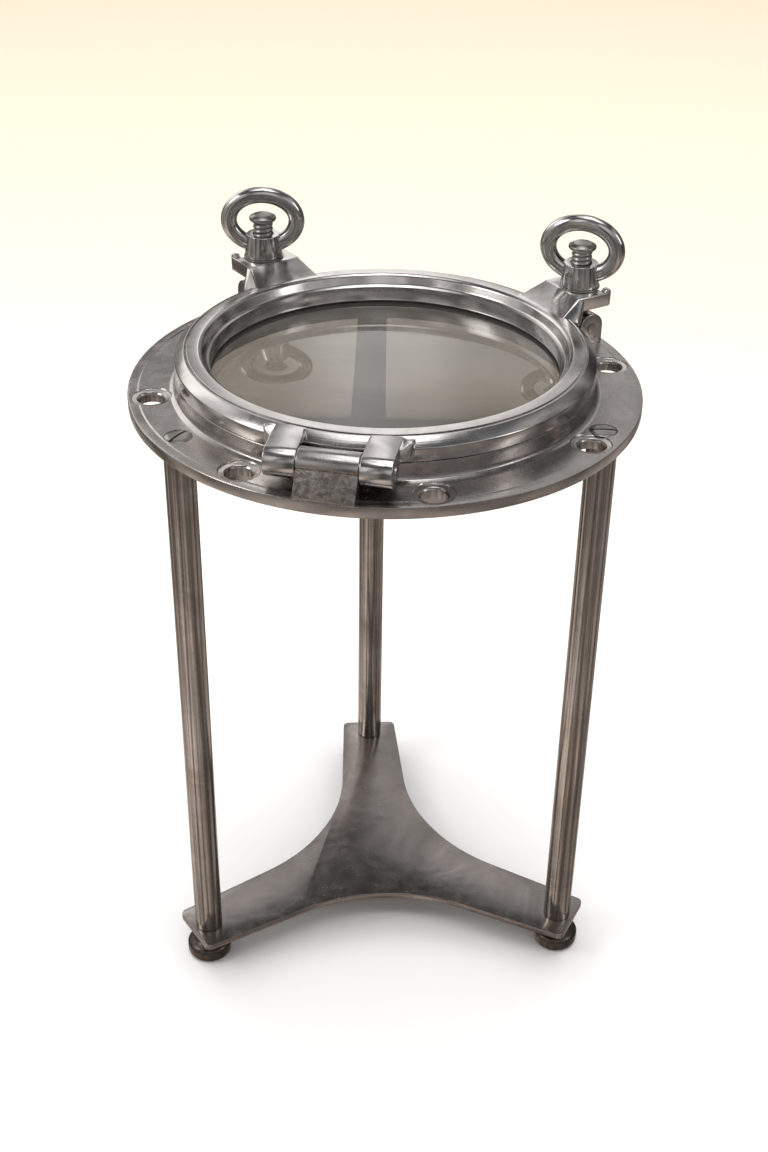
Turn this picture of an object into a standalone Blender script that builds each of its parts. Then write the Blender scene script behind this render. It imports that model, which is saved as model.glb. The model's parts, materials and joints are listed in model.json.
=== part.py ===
"""Opening porthole made into a three-legged side table: frame, hinged sash, two swing-bolt dogs and stand."""

from math import cos, pi, radians, sin, sqrt, tau

import bmesh
import bpy
from mathutils import Matrix, Vector

MM = 0.001

# Heights above the floor.
FLANGE_TOP = 560 * MM
FLANGE_THICK = 10 * MM
PLATE_TOP = 33.3 * MM
PLATE_THICK = 6 * MM

# Frame, turned about the vertical axis. Heights from here on are above the flange's top face.
FLANGE_R = 216 * MM
FRAME_BORE_R = 163 * MM
SPIGOT_R = 169 * MM
SPIGOT_LOW = -34 * MM
SEAT_R = 176 * MM
SEAT_HIGH = 15.5 * MM
SEAL_GROOVE = (166 * MM, 172 * MM, 3.3 * MM)
TURNING_STEPS = 64

# Bolt holes in the flange, and the screws that hold the legs.
MOUNT_HOLES = 8
MOUNT_CIRCLE_R = 196.5 * MM
MOUNT_FIRST = 11
MOUNT_HOLE_R = 10.5 * MM
MOUNT_SINK_R = 18 * MM
LEG_CIRCLE_R = 195.1 * MM
LEG_NAMES = {"back": 93.6, "left": 213.6, "right": -26.4}
LEG_R = 12.7 * MM
SCREW_HEAD_R = 11 * MM
SCREW_SHANK_R = 4.8 * MM

# Sash and glass.
SASH_R = 176 * MM
SASH_TOP = 34.5 * MM
SKIRT_R = 161.5 * MM
LIGHT_R = 146.5 * MM
REBATE_R = 155.8 * MM
REBATE_TOP = 11.5 * MM
SKIRT_BOTTOM = -8 * MM
GLASS_THICK = 10 * MM
GASKET_THICK = 1.4 * MM

# Hinge.
HINGE_AZIMUTH = -102
HINGE_R = 192 * MM
HINGE_HIGH = 19 * MM
KNUCKLE_R = 12.5 * MM
FRAME_KNUCKLE_LONG = 48 * MM
SASH_KNUCKLE_LONG = 25 * MM
HINGE_PIN_R = 5 * MM

# Dogs: each swings on a pin in the frame and lies in a fork on the sash.
DOG_NAMES = {"left": 124.5, "right": 31.5}
DOG_R = 200 * MM
PIVOT_HIGH = 13.5 * MM
EAR_R = 12.5 * MM
EYE_R = 12 * MM
EYE_HALF = 10 * MM
EAR_THICK = 11.5 * MM
PIVOT_PIN_R = 4 * MM
SHANK_R = 9.2 * MM
BOLT_END = 79.5 * MM
FORK_TOP = 45.5 * MM
FORK_UNDER = 33 * MM
FORK_HALF = 26 * MM
FORK_REACH = 18 * MM
SLOT_R = 10.5 * MM
HORN_TOP = 48.2 * MM
WASHER_THICK = 1.2 * MM
WASHER_R = 18 * MM
NUT_HIGH = 20 * MM
NUT_FOOT_R = 17.2 * MM
NUT_TOP_R = 15 * MM
NUT_BORE_R = 9.7 * MM
LOOP_BAR_R = 6.2 * MM
LOOP_HALF_WIDE = 31.8 * MM
LOOP_HALF_HIGH = 24.4 * MM
LOOP_MID = 79.8 * MM
LOOP_TURN = {"left": -34.5, "right": 38.5}

# Feet.
FOOT_R = 21.2 * MM
PAD_R = 18 * MM
PAD_THICK = 3.2 * MM

GAP = 0.3 * MM


def clear_scene():
    for obj in list(bpy.data.objects):
        bpy.data.objects.remove(obj, do_unlink=True)


def make_material(name, colour, roughness, metallic, alpha=1.0):
    material = bpy.data.materials.new(name)
    material.use_nodes = True
    shader = material.node_tree.nodes["Principled BSDF"]
    shader.inputs["Base Color"].default_value = (*colour, 1.0)
    shader.inputs["Roughness"].default_value = roughness
    shader.inputs["Metallic"].default_value = metallic
    shader.inputs["Alpha"].default_value = alpha
    return material


def make_collection(name, parent, hidden=False):
    collection = bpy.data.collections.new(name)
    parent.children.link(collection)
    collection.hide_render = hidden
    return collection


def at_azimuth(degrees, radius=0.0, height=0.0):
    """A frame whose X points outward at this azimuth, with Y along the circle and Z up."""
    turn = Matrix.Rotation(radians(degrees), 4, "Z")
    return turn @ Matrix.Translation((radius, 0, FLANGE_TOP + height))


def turned(profile, steps=TURNING_STEPS):
    """A solid of revolution about Z from a closed outline of (radius, height) points."""
    bm = bmesh.new()
    rings = []
    for radius, height in profile:
        if radius < 1e-7:
            rings.append([bm.verts.new((0, 0, height))] * steps)
            continue
        angles = [tau * step / steps for step in range(steps)]
        rings.append([bm.verts.new((radius * cos(a), radius * sin(a), height)) for a in angles])
    for low, high in zip(rings, rings[1:] + rings[:1]):
        for step in range(steps):
            after = (step + 1) % steps
            corners = [low[step], low[after], high[after], high[step]]
            corners = list(dict.fromkeys(corners))
            if len(corners) > 2:
                bm.faces.new(corners)
    return bm


def extruded(outline, low, high):
    """A solid from a plan outline of (x, y) points, standing from low to high."""
    bm = bmesh.new()
    bottom = [bm.verts.new((x, y, low)) for x, y in outline]
    top = [bm.verts.new((x, y, high)) for x, y in outline]
    bm.faces.new(bottom[::-1])
    bm.faces.new(top)
    for index in range(len(outline)):
        after = (index + 1) % len(outline)
        bm.faces.new((bottom[index], bottom[after], top[after], top[index]))
    return bm


def upright(outline, low, high):
    """A solid from a side outline of (outward, height) points, running along Y from low to high."""
    bm = extruded(outline, low, high)
    bm.transform(Matrix.Rotation(pi / 2, 4, "X"))
    bm.transform(Matrix.Scale(-1, 4, (0, 1, 0)))
    return bm


def hull(points):
    bm = bmesh.new()
    for point in points:
        bm.verts.new(point)
    result = bmesh.ops.convex_hull(bm, input=bm.verts)
    spare = [item for item in result["geom_interior"] if isinstance(item, bmesh.types.BMVert)]
    bmesh.ops.delete(bm, geom=spare, context="VERTS")
    return bm


def rod(radius, low, high, steps=20):
    return turned([(0, low), (radius, low), (radius, high), (0, high)], steps)


def cross_rod(radius, low, high, steps=20):
    """A rod along Y."""
    bm = rod(radius, low, high, steps)
    bm.transform(Matrix.Rotation(-pi / 2, 4, "X"))
    return bm


def arc(centre, radius, start, stop, steps):
    """Points on an arc, its angles in degrees."""
    angles = [radians(start + (stop - start) * step / steps) for step in range(steps + 1)]
    return [(centre[0] + radius * cos(a), centre[1] + radius * sin(a)) for a in angles]


def curve_between(start, control, end, steps):
    """Points on a quadratic curve, its ends included."""
    points = []
    for step in range(steps + 1):
        t = step / steps
        weights = ((1 - t) ** 2, 2 * t * (1 - t), t**2)
        points.append(
            tuple(sum(w * p[axis] for w, p in zip(weights, (start, control, end))) for axis in (0, 1))
        )
    return points


def add_object(name, bm, material, collection, place=None, parent=None):
    bmesh.ops.recalc_face_normals(bm, faces=bm.faces)
    mesh = bpy.data.meshes.new(name)
    bm.to_mesh(mesh)
    bm.free()
    mesh.materials.append(material)
    obj = bpy.data.objects.new(name, mesh)
    collection.objects.link(obj)
    obj.matrix_world = place or Matrix.Identity(4)
    if parent:
        obj.parent = parent
        obj.matrix_parent_inverse = parent.matrix_world.inverted()
    return obj


def add_axis(name, place, collection):
    empty = bpy.data.objects.new(name, None)
    empty.empty_display_size = 30 * MM
    collection.objects.link(empty)
    empty.matrix_world = place
    bpy.context.view_layer.update()
    return empty


def combine(obj, pieces, operation):
    """Adds or cuts helper solids, each a (name, mesh, place) triple, with exact Booleans."""
    helpers = bpy.data.collections["helpers"]
    for name, bm, place in pieces:
        helper = add_object(f"{obj.name}_{name}", bm, obj.data.materials[0], helpers, place)
        helper.hide_render = True
        helper.display_type = "WIRE"
        modifier = obj.modifiers.new(name, "BOOLEAN")
        modifier.operation = operation
        modifier.solver = "EXACT"
        modifier.object = helper


def leg_place(name, height=0.0):
    return at_azimuth(LEG_NAMES[name], LEG_CIRCLE_R, height - FLANGE_TOP)


def ear_outline():
    """Side view of a clevis ear about its pin: a rounded top on a straight foot let into the flange."""
    foot = -PIVOT_HIGH - 4 * MM
    return [(EAR_R, foot)] + arc((0, 0), EAR_R, 0, 180, 12) + [(-EAR_R, foot)]


def hinge_lug_outline():
    """Side view of the frame's hinge lug about the pin: its front slopes to the flange's edge."""
    foot = -HINGE_HIGH - 4 * MM
    front = FLANGE_R - 1.5 * MM - HINGE_R
    back = arc((0, 0), KNUCKLE_R, 28, 195, 12)
    return [(front, foot), (front, -HINGE_HIGH + 2 * MM)] + back + [(back[-1][0], foot)]


def hinge_arm_outline():
    """Side view of a sash hinge arm about the pin."""
    eye = arc((0, 0), KNUCKLE_R, 90, -120, 16)
    inboard = 162 * MM - HINGE_R
    root = [
        (176.5 * MM - HINGE_R, 17 * MM - HINGE_HIGH),
        (170 * MM - HINGE_R, 17.5 * MM - HINGE_HIGH),
        (inboard, 21 * MM - HINGE_HIGH),
        (inboard, 33.8 * MM - HINGE_HIGH),
        (180 * MM - HINGE_R, 33.2 * MM - HINGE_HIGH),
    ]
    return eye + root


def fork_outline():
    """Plan of the fork about the bolt: two arms with round tips and a U-shaped slot between them."""
    tip = 5 * MM
    inner = 181 * MM - DOG_R
    side = FORK_HALF - tip
    near = SLOT_R + tip
    reach = FORK_REACH - tip
    outline = [(inner, -FORK_HALF)]
    outline += arc((reach, -side), tip, -90, 0, 4)
    outline += arc((reach, -near), tip, 0, 90, 4)
    outline += arc((0, 0), SLOT_R, -90, -270, 12)
    outline += arc((reach, near), tip, -90, 0, 4)
    outline += arc((reach, side), tip, 0, 90, 4)
    outline.append((inner, FORK_HALF))
    return outline


def fork_relief_outline():
    """Side view of what is cut from the arms' tops, so that the slackened nut can swing outward."""
    clear_r = FORK_TOP - PIVOT_HIGH
    pivot = PIVOT_HIGH
    points = [(0.0, clear_r + pivot)]
    for step in range(1, 9):
        outward = (FORK_REACH + 3 * MM) * step / 8
        points.append((outward, pivot + sqrt(clear_r**2 - outward**2)))
    return points + [(FORK_REACH + 3 * MM, FORK_TOP + 12 * MM), (0.0, FORK_TOP + 12 * MM)]


def fork_root_points():
    """Corners of the sloping root that carries a fork on the sash."""
    points = []
    for side in (-1, 1):
        points += [
            (181 * MM - DOG_R, side * 23.4 * MM, FORK_TOP - 0.1 * MM),
            (187 * MM - DOG_R, side * 23.4 * MM, FORK_TOP - 0.1 * MM),
            (187 * MM - DOG_R, side * 23.4 * MM, FORK_UNDER + 0.2 * MM),
            (158 * MM - DOG_R, side * 30 * MM, 33.9 * MM),
            (171 * MM - DOG_R, side * 38 * MM, 30 * MM),
            (174.5 * MM - DOG_R, side * 38 * MM, 26 * MM),
            (174.5 * MM - DOG_R, side * 24 * MM, 21 * MM),
        ]
    return points


def horn_points(side):
    """Corners of the stop at the end of one fork arm."""
    near, far = 18.8 * MM, FORK_HALF - 0.6 * MM
    points = []
    for across in (near, far):
        points += [
            (8.5 * MM, side * across, FORK_TOP - 2 * MM),
            (11 * MM, side * across, HORN_TOP),
            (15 * MM, side * across, HORN_TOP),
            (FORK_REACH - 2 * MM, side * across, HORN_TOP - 2.5 * MM),
            (FORK_REACH - 2 * MM, side * across, FORK_UNDER + 4 * MM),
            (8.5 * MM, side * across, FORK_UNDER + 4 * MM),
        ]
    return points


def loop_of_nut():
    """The nut's finger loop: a round bar bent to an open oval, with both ends let into the boss."""
    bm = bmesh.new()
    along, around = 24, 9
    start, stop = radians(-62), radians(242)
    rings = []
    for step in range(along + 1):
        angle = start + (stop - start) * step / along
        centre = Vector((0, LOOP_HALF_WIDE * cos(angle), LOOP_MID - PIVOT_HIGH + LOOP_HALF_HIGH * sin(angle)))
        ahead = Vector((0, -LOOP_HALF_WIDE * sin(angle), LOOP_HALF_HIGH * cos(angle))).normalized()
        side = Vector((1, 0, 0))
        out = ahead.cross(side)
        ring = []
        for turn in range(around):
            phase = tau * turn / around
            ring.append(bm.verts.new(centre + LOOP_BAR_R * (cos(phase) * side + sin(phase) * out)))
        rings.append(ring)
    for ring, following in zip(rings, rings[1:]):
        for turn in range(around):
            after = (turn + 1) % around
            bm.faces.new((ring[turn], ring[after], following[after], following[turn]))
    bm.faces.new(rings[0][::-1])
    bm.faces.new(rings[-1])
    return bm


def plate_outline():
    """Plan of the base plate: three arms with square ends and a hollow bay between each pair."""
    end = 212 * MM
    half = 28.5 * MM
    corner = 6 * MM
    bay = 65 * MM
    outline = []
    for azimuth in sorted(LEG_NAMES.values()):
        middle = (bay * cos(pi / 3), bay * sin(pi / 3))
        flank = curve_between(middle, (69 * MM, 35 * MM), (112 * MM, 33 * MM), 7)
        upper = arc((end - corner, half - corner), corner, 90, 0, 4)
        arm = [(x, -y) for x, y in flank] + [(x, -y) for x, y in upper]
        arm += upper[::-1] + flank[:0:-1]
        turn = radians(azimuth)
        outline += [(x * cos(turn) - y * sin(turn), x * sin(turn) + y * cos(turn)) for x, y in arm]
    return outline


def build_frame(body, alloy, rubber, steel):
    inner, outer, deep = SEAL_GROOVE
    profile = [
        (FRAME_BORE_R, SPIGOT_LOW),
        (SPIGOT_R, SPIGOT_LOW),
        (SPIGOT_R, -FLANGE_THICK),
        (FLANGE_R - 1.5 * MM, -FLANGE_THICK),
        (FLANGE_R, -FLANGE_THICK + 1.5 * MM),
        (FLANGE_R, -1.5 * MM),
        (FLANGE_R - 1.5 * MM, 0),
        (SEAT_R + 5 * MM, 0),
        (SEAT_R + 1.5 * MM, 1.5 * MM),
        (SEAT_R, 5 * MM),
        (SEAT_R, SEAT_HIGH),
        (outer, SEAT_HIGH),
        (outer, SEAT_HIGH - deep),
        (inner, SEAT_HIGH - deep),
        (inner, SEAT_HIGH),
        (FRAME_BORE_R, SEAT_HIGH),
    ]
    level = Matrix.Translation((0, 0, FLANGE_TOP))
    frame = add_object("porthole_frame", turned(profile), alloy, body, level)
    hinge = at_azimuth(HINGE_AZIMUTH, HINGE_R, HINGE_HIGH)
    half = FRAME_KNUCKLE_LONG / 2
    adds = [("hinge_lug", upright(hinge_lug_outline(), -half, half), hinge)]
    cuts = [("hinge_bore", cross_rod(HINGE_PIN_R + GAP, -half - 5 * MM, half + 5 * MM), hinge)]
    for name, azimuth in DOG_NAMES.items():
        pivot = at_azimuth(azimuth, DOG_R, PIVOT_HIGH)
        near = EYE_HALF + GAP
        far = near + EAR_THICK
        adds.append((f"{name}_ear_a", upright(ear_outline(), near, far), pivot))
        adds.append((f"{name}_ear_b", upright(ear_outline(), -far, -near), pivot))
        bore = cross_rod(PIVOT_PIN_R + GAP, -far - 5 * MM, far + 5 * MM, 16)
        cuts.append((f"{name}_pin_bore", bore, pivot))
        add_object(f"{name}_pivot_pin", cross_rod(PIVOT_PIN_R, -far - MM, far + MM, 16), steel, body, pivot)
    for number in range(MOUNT_HOLES):
        azimuth = MOUNT_FIRST + 360 / MOUNT_HOLES * number
        sink = [
            (0, -FLANGE_THICK - 5 * MM),
            (MOUNT_HOLE_R, -FLANGE_THICK - 5 * MM),
            (MOUNT_HOLE_R, -3.2 * MM),
            (MOUNT_HOLE_R + 1.6 * MM, -1.5 * MM),
            (MOUNT_SINK_R, 0.4 * MM),
            (0, 0.4 * MM),
        ]
        cuts.append((f"mount_hole_{number + 1}", turned(sink, 20), at_azimuth(azimuth, MOUNT_CIRCLE_R)))
    for name in LEG_NAMES:
        sink = [
            (0, -FLANGE_THICK - 5 * MM),
            (SCREW_SHANK_R + 0.5 * MM, -FLANGE_THICK - 5 * MM),
            (SCREW_SHANK_R + 0.5 * MM, -6 * MM),
            (SCREW_HEAD_R + 0.4 * MM, -0.8 * MM),
            (SCREW_HEAD_R + 0.4 * MM, 1.5 * MM),
            (0, 1.5 * MM),
        ]
        cuts.append((f"screw_hole_{name}", turned(sink, 16), leg_place(name, FLANGE_TOP)))
    combine(frame, adds, "UNION")
    combine(frame, cuts, "DIFFERENCE")
    seal = [
        (inner + GAP, SEAT_HIGH - deep + GAP),
        (outer - GAP, SEAT_HIGH - deep + GAP),
        (outer - GAP, SEAT_HIGH - 0.8 * MM),
        (outer - 1.5 * MM, SEAT_HIGH + 0.2 * MM),
        (inner + 1.5 * MM, SEAT_HIGH + 0.2 * MM),
        (inner + GAP, SEAT_HIGH - 0.8 * MM),
    ]
    add_object("frame_seal", turned(seal), rubber, body, level)
    reach = half + GAP + SASH_KNUCKLE_LONG + 1.5 * MM
    pin = [(0, -reach), (4 * MM, -reach), (HINGE_PIN_R, -reach + MM), (HINGE_PIN_R, reach - MM)]
    pin += [(4 * MM, reach), (0, reach)]
    bm = turned(pin, 16)
    bm.transform(Matrix.Rotation(-pi / 2, 4, "X"))
    add_object("hinge_pin", bm, steel, body, hinge)


def build_sash(body, alloy, glass, rubber, bright):
    hinge = at_azimuth(HINGE_AZIMUTH, HINGE_R, HINGE_HIGH)
    axis = add_axis("sash_hinge_axis", hinge, body)
    level = Matrix.Translation((0, 0, FLANGE_TOP))
    bottom = SEAT_HIGH + 0.5 * MM
    profile = [
        (LIGHT_R, REBATE_TOP),
        (REBATE_R, REBATE_TOP),
        (REBATE_R, SKIRT_BOTTOM),
        (SKIRT_R, SKIRT_BOTTOM),
        (SKIRT_R, bottom),
        (SASH_R, bottom),
        (SASH_R, 27 * MM),
        (SASH_R - 8 * MM, SASH_TOP - 0.4 * MM),
        (SASH_R - 9.5 * MM, SASH_TOP),
        (LIGHT_R + 8.5 * MM, SASH_TOP),
        (LIGHT_R + 6.8 * MM, SASH_TOP - 1.2 * MM),
        (LIGHT_R + 3 * MM, 25 * MM),
        (LIGHT_R, 24 * MM),
    ]
    sash = add_object("sash_ring", turned(profile), alloy, body, level, axis)
    adds, cuts = [], []
    near = FRAME_KNUCKLE_LONG / 2 + GAP
    far = near + SASH_KNUCKLE_LONG
    adds.append(("hinge_arm_a", upright(hinge_arm_outline(), near, far), hinge))
    adds.append(("hinge_arm_b", upright(hinge_arm_outline(), -far, -near), hinge))
    cuts.append(("hinge_bore", cross_rod(HINGE_PIN_R + GAP, -far - 5 * MM, far + 5 * MM), hinge))
    for name, azimuth in DOG_NAMES.items():
        fork = at_azimuth(azimuth, DOG_R)
        adds.append((f"{name}_root", hull(fork_root_points()), fork))
        adds.append((f"{name}_fork", extruded(fork_outline(), FORK_UNDER, FORK_TOP), fork))
        relief = upright(fork_relief_outline(), -18.6 * MM, 18.6 * MM)
        cuts.append((f"{name}_relief", relief, fork))
        for side, label in ((1, "a"), (-1, "b")):
            adds.append((f"{name}_horn_{label}", hull(horn_points(side)), fork))
    combine(sash, adds, "UNION")
    combine(sash, cuts, "DIFFERENCE")

    edge = REBATE_R - 1.5 * MM
    glass_top = REBATE_TOP - 2 * GAP - GASKET_THICK
    glass_low = glass_top - GLASS_THICK
    pane = [(0, glass_low), (edge - MM, glass_low), (edge, glass_low + MM), (edge, glass_top - MM)]
    pane += [(edge - MM, glass_top), (0, glass_top)]
    add_object("glass_pane", turned(pane), glass, body, level, axis)
    ring_in, ring_out = LIGHT_R + 0.4 * MM, REBATE_R - GAP
    for name, top in (("glass_gasket_top", REBATE_TOP - GAP), ("glass_gasket_bottom", glass_low - GAP)):
        low = top - GASKET_THICK
        gasket = [(ring_in, low), (ring_out, low), (ring_out, top), (ring_in, top)]
        add_object(name, turned(gasket), rubber, body, level, axis)
    keep_top = glass_low - 2 * GAP - GASKET_THICK
    keep_low = SKIRT_BOTTOM + GAP
    keeper = [(ring_in, keep_low), (ring_out, keep_low), (ring_out, keep_top), (ring_in, keep_top)]
    ring = add_object("glass_retaining_ring", turned(keeper), bright, body, level, axis)
    notches = []
    for number in range(4):
        notch = extruded([(-2 * MM, -4 * MM), (20 * MM, -4 * MM), (20 * MM, 4 * MM), (-2 * MM, 4 * MM)], -5 * MM, 5 * MM)
        place = at_azimuth(45 + 90 * number, ring_in - 14 * MM, keep_low - 2.5 * MM)
        notches.append((f"spanner_notch_{number + 1}", notch, place))
    combine(ring, notches, "DIFFERENCE")


def build_dog(name, body, alloy, bright, steel):
    pivot = at_azimuth(DOG_NAMES[name], DOG_R, PIVOT_HIGH)
    axis = add_axis(f"{name}_dog_axis", pivot, body)
    foot = 6 * MM
    end = BOLT_END - PIVOT_HIGH
    shank = [(0, foot), (SHANK_R, foot), (SHANK_R, end - 1.5 * MM), (SHANK_R - 1.5 * MM, end), (0, end)]
    bolt = add_object(f"{name}_swing_bolt", turned(shank, 20), steel, body, pivot, axis)
    combine(bolt, [("eye", cross_rod(EYE_R, -EYE_HALF, EYE_HALF), pivot)], "UNION")
    bore = cross_rod(PIVOT_PIN_R + GAP, -EYE_HALF - 5 * MM, EYE_HALF + 5 * MM, 16)
    combine(bolt, [("bore", bore, pivot)], "DIFFERENCE")

    low = end + GAP
    cap = [
        (0, low),
        (11.4 * MM, low),
        (12.4 * MM, low + 1.6 * MM),
        (12 * MM, low + 3.6 * MM),
        (8 * MM, low + 5.6 * MM),
        (0, low + 6.4 * MM),
    ]
    add_object(f"{name}_stop_cap", turned(cap, 20), steel, body, pivot, axis)

    seat = FORK_TOP - PIVOT_HIGH + GAP
    washer = [(NUT_BORE_R, seat), (WASHER_R, seat), (WASHER_R, seat + WASHER_THICK), (NUT_BORE_R, seat + WASHER_THICK)]
    add_object(f"{name}_thrust_washer", turned(washer, 20), steel, body, pivot, axis)

    nut_low = seat + WASHER_THICK + GAP
    nut_top = nut_low + NUT_HIGH
    boss = [
        (0, nut_low),
        (NUT_FOOT_R - 0.8 * MM, nut_low),
        (NUT_FOOT_R, nut_low + MM),
        (NUT_TOP_R, nut_top - MM),
        (NUT_TOP_R - MM, nut_top),
        (0, nut_top),
    ]
    turn = pivot @ Matrix.Rotation(radians(LOOP_TURN[name]), 4, "Z")
    nut = add_object(f"{name}_ring_nut", turned(boss, 24), bright, body, turn, axis)
    combine(nut, [("loop", loop_of_nut(), turn)], "UNION")
    combine(nut, [("bore", rod(NUT_BORE_R, nut_low - 5 * MM, nut_top + 5 * MM), turn)], "DIFFERENCE")


def build_leg(name, body, bar, steel, dark, rubber):
    place = leg_place(name)
    low = PLATE_TOP + GAP
    high = FLANGE_TOP - FLANGE_THICK - GAP
    bore_r = SCREW_SHANK_R + 0.4 * MM
    deep = 38 * MM
    leg = [
        (0, low + deep),
        (bore_r, low + deep),
        (bore_r, low),
        (LEG_R - 0.8 * MM, low),
        (LEG_R, low + 0.8 * MM),
        (LEG_R, high - 0.8 * MM),
        (LEG_R - 0.8 * MM, high),
        (bore_r, high),
        (bore_r, high - deep),
        (0, high - deep),
    ]
    add_object(f"leg_{name}", turned(leg, 20), bar, body, place)

    top = FLANGE_TOP
    screw = [
        (0, top - 45 * MM),
        (SCREW_SHANK_R, top - 45 * MM),
        (SCREW_SHANK_R, top - 6 * MM),
        (SCREW_HEAD_R, top - 0.6 * MM),
        (SCREW_HEAD_R, top),
        (SCREW_HEAD_R - 2 * MM, top + 0.8 * MM),
        (0, top + 1.2 * MM),
    ]
    head = add_object(f"leg_screw_{name}", turned(screw, 16), steel, body, place)
    slot = [(-14 * MM, -MM), (14 * MM, -MM), (14 * MM, MM), (-14 * MM, MM)]
    slot_turn = leg_place(name) @ Matrix.Rotation(radians(25), 4, "Z")
    combine(head, [("slot", extruded(slot, top - 1.4 * MM, top + 5 * MM), slot_turn)], "DIFFERENCE")

    hole_r = SCREW_SHANK_R + 0.5 * MM
    foot_top = PLATE_TOP - PLATE_THICK - GAP
    recess = PAD_THICK + GAP
    foot = [
        (hole_r, foot_top),
        (hole_r, 11 * MM),
        (9.2 * MM, 11 * MM),
        (9.2 * MM, recess),
        (PAD_R + 0.4 * MM, recess),
        (PAD_R + 0.4 * MM, 1.2 * MM),
        (FOOT_R - 1.5 * MM, 1.2 * MM),
        (FOOT_R, 4 * MM),
        (FOOT_R, 12 * MM),
        (FOOT_R - 2 * MM, 14.5 * MM),
        (14 * MM, 17 * MM),
        (13 * MM, 19 * MM),
        (13 * MM, foot_top),
    ]
    add_object(f"foot_{name}", turned(foot, 24), dark, body, place)
    add_object(f"foot_pad_{name}", rod(PAD_R, 0, PAD_THICK, 24), rubber, body, place)
    bolt_end = PLATE_TOP + 34 * MM
    bolt = [
        (0, 4.2 * MM),
        (8 * MM, 4.2 * MM),
        (8.6 * MM, 5 * MM),
        (8.6 * MM, 10.6 * MM),
        (SCREW_SHANK_R, 10.6 * MM),
        (SCREW_SHANK_R, bolt_end),
        (0, bolt_end),
    ]
    add_object(f"foot_bolt_{name}", turned(bolt, 16), steel, body, place)


def build_base(body, alloy):
    bm = extruded(plate_outline(), PLATE_TOP - PLATE_THICK, PLATE_TOP)
    plate = add_object("base_plate", bm, alloy, body)
    holes = []
    for name in LEG_NAMES:
        hole = rod(SCREW_SHANK_R + 0.5 * MM, PLATE_TOP - 20 * MM, PLATE_TOP + 20 * MM, 16)
        holes.append((f"bolt_hole_{name}", hole, leg_place(name)))
    combine(plate, holes, "DIFFERENCE")


def main():
    clear_scene()
    root = bpy.context.scene.collection
    body = make_collection("opening_porthole_table", root)
    make_collection("helpers", root, hidden=True)
    alloy = make_material("polished_cast_alloy", (0.60, 0.56, 0.54), 0.24, 1.0)
    bar = make_material("polished_bar", (0.46, 0.42, 0.39), 0.22, 1.0)
    bright = make_material("bright_alloy", (0.68, 0.67, 0.67), 0.16, 1.0)
    worn = make_material("worn_alloy_plate", (0.36, 0.32, 0.30), 0.34, 1.0)
    steel = make_material("dull_steel", (0.40, 0.39, 0.38), 0.38, 1.0)
    dark = make_material("dark_bronze", (0.16, 0.14, 0.13), 0.36, 1.0)
    rubber = make_material("black_rubber", (0.03, 0.032, 0.03), 0.75, 0.0)
    glass = make_material("smoked_glass", (0.62, 0.60, 0.55), 0.03, 0.0, 0.35)
    build_frame(body, alloy, rubber, steel)
    build_sash(body, alloy, glass, rubber, bright)
    for name in DOG_NAMES:
        build_dog(name, body, alloy, bright, steel)
    build_base(body, worn)
    for name in LEG_NAMES:
        build_leg(name, body, bar, steel, dark, rubber)


main()
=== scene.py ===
"""The looks of the opening porthole table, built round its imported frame."""

import json
from math import atan2, cos, degrees, pi, radians, sin, sqrt, tau

import bmesh
import bpy
from mathutils import Matrix, Vector


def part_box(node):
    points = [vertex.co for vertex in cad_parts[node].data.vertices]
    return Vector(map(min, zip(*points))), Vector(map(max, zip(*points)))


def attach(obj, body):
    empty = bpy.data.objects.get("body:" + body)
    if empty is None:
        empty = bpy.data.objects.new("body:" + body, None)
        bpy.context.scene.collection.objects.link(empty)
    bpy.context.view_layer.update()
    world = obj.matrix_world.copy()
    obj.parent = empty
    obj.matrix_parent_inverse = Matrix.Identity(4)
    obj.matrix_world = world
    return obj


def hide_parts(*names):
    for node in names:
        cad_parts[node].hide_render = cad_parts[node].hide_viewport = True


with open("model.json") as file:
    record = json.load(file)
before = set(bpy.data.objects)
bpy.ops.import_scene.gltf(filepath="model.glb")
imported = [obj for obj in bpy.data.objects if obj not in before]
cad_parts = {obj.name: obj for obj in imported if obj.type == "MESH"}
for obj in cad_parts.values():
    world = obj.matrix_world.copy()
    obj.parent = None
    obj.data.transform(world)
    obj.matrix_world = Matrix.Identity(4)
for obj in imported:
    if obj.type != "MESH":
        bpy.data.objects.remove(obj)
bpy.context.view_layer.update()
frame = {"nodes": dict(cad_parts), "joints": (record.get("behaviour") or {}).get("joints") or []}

MM = 0.001

# Places read from the frame. The frame casting's lowest face is the foot of its spigot.
FRAME_LOW, FRAME_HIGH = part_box("porthole_frame")
FLANGE_THICK = 10 * MM
SPIGOT_DEEP = 34 * MM
FLANGE_TOP = FRAME_LOW.z + SPIGOT_DEEP
FLANGE_R = FRAME_HIGH.x
PLATE_LOW, PLATE_TOP = (corner.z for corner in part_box("base_plate"))
LEGS = ("back", "left", "right")
DOGS = ("left", "right")
JOINTS = {joint["name"]: joint for joint in frame["joints"]}

# Frame casting. Its heights, and those of the sash, hinge and dogs, are above the flange's top face.
BORE_R = 163 * MM
SPIGOT_R = 169 * MM
SEAT_R = 176 * MM
SEAT_HIGH = 15.5 * MM
SEAL_IN, SEAL_OUT, SEAL_DEEP = 166 * MM, 172 * MM, 3.3 * MM
MOUNT_HOLES = 8
MOUNT_FIRST = 11
MOUNT_CIRCLE_R = 196.5 * MM
MOUNT_HOLE_R = 10.5 * MM
MOUNT_SINK_R = 18 * MM
SCREW_HEAD_R = 11 * MM
SCREW_SHANK_R = 4.8 * MM
LEG_R = 12.7 * MM

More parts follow.
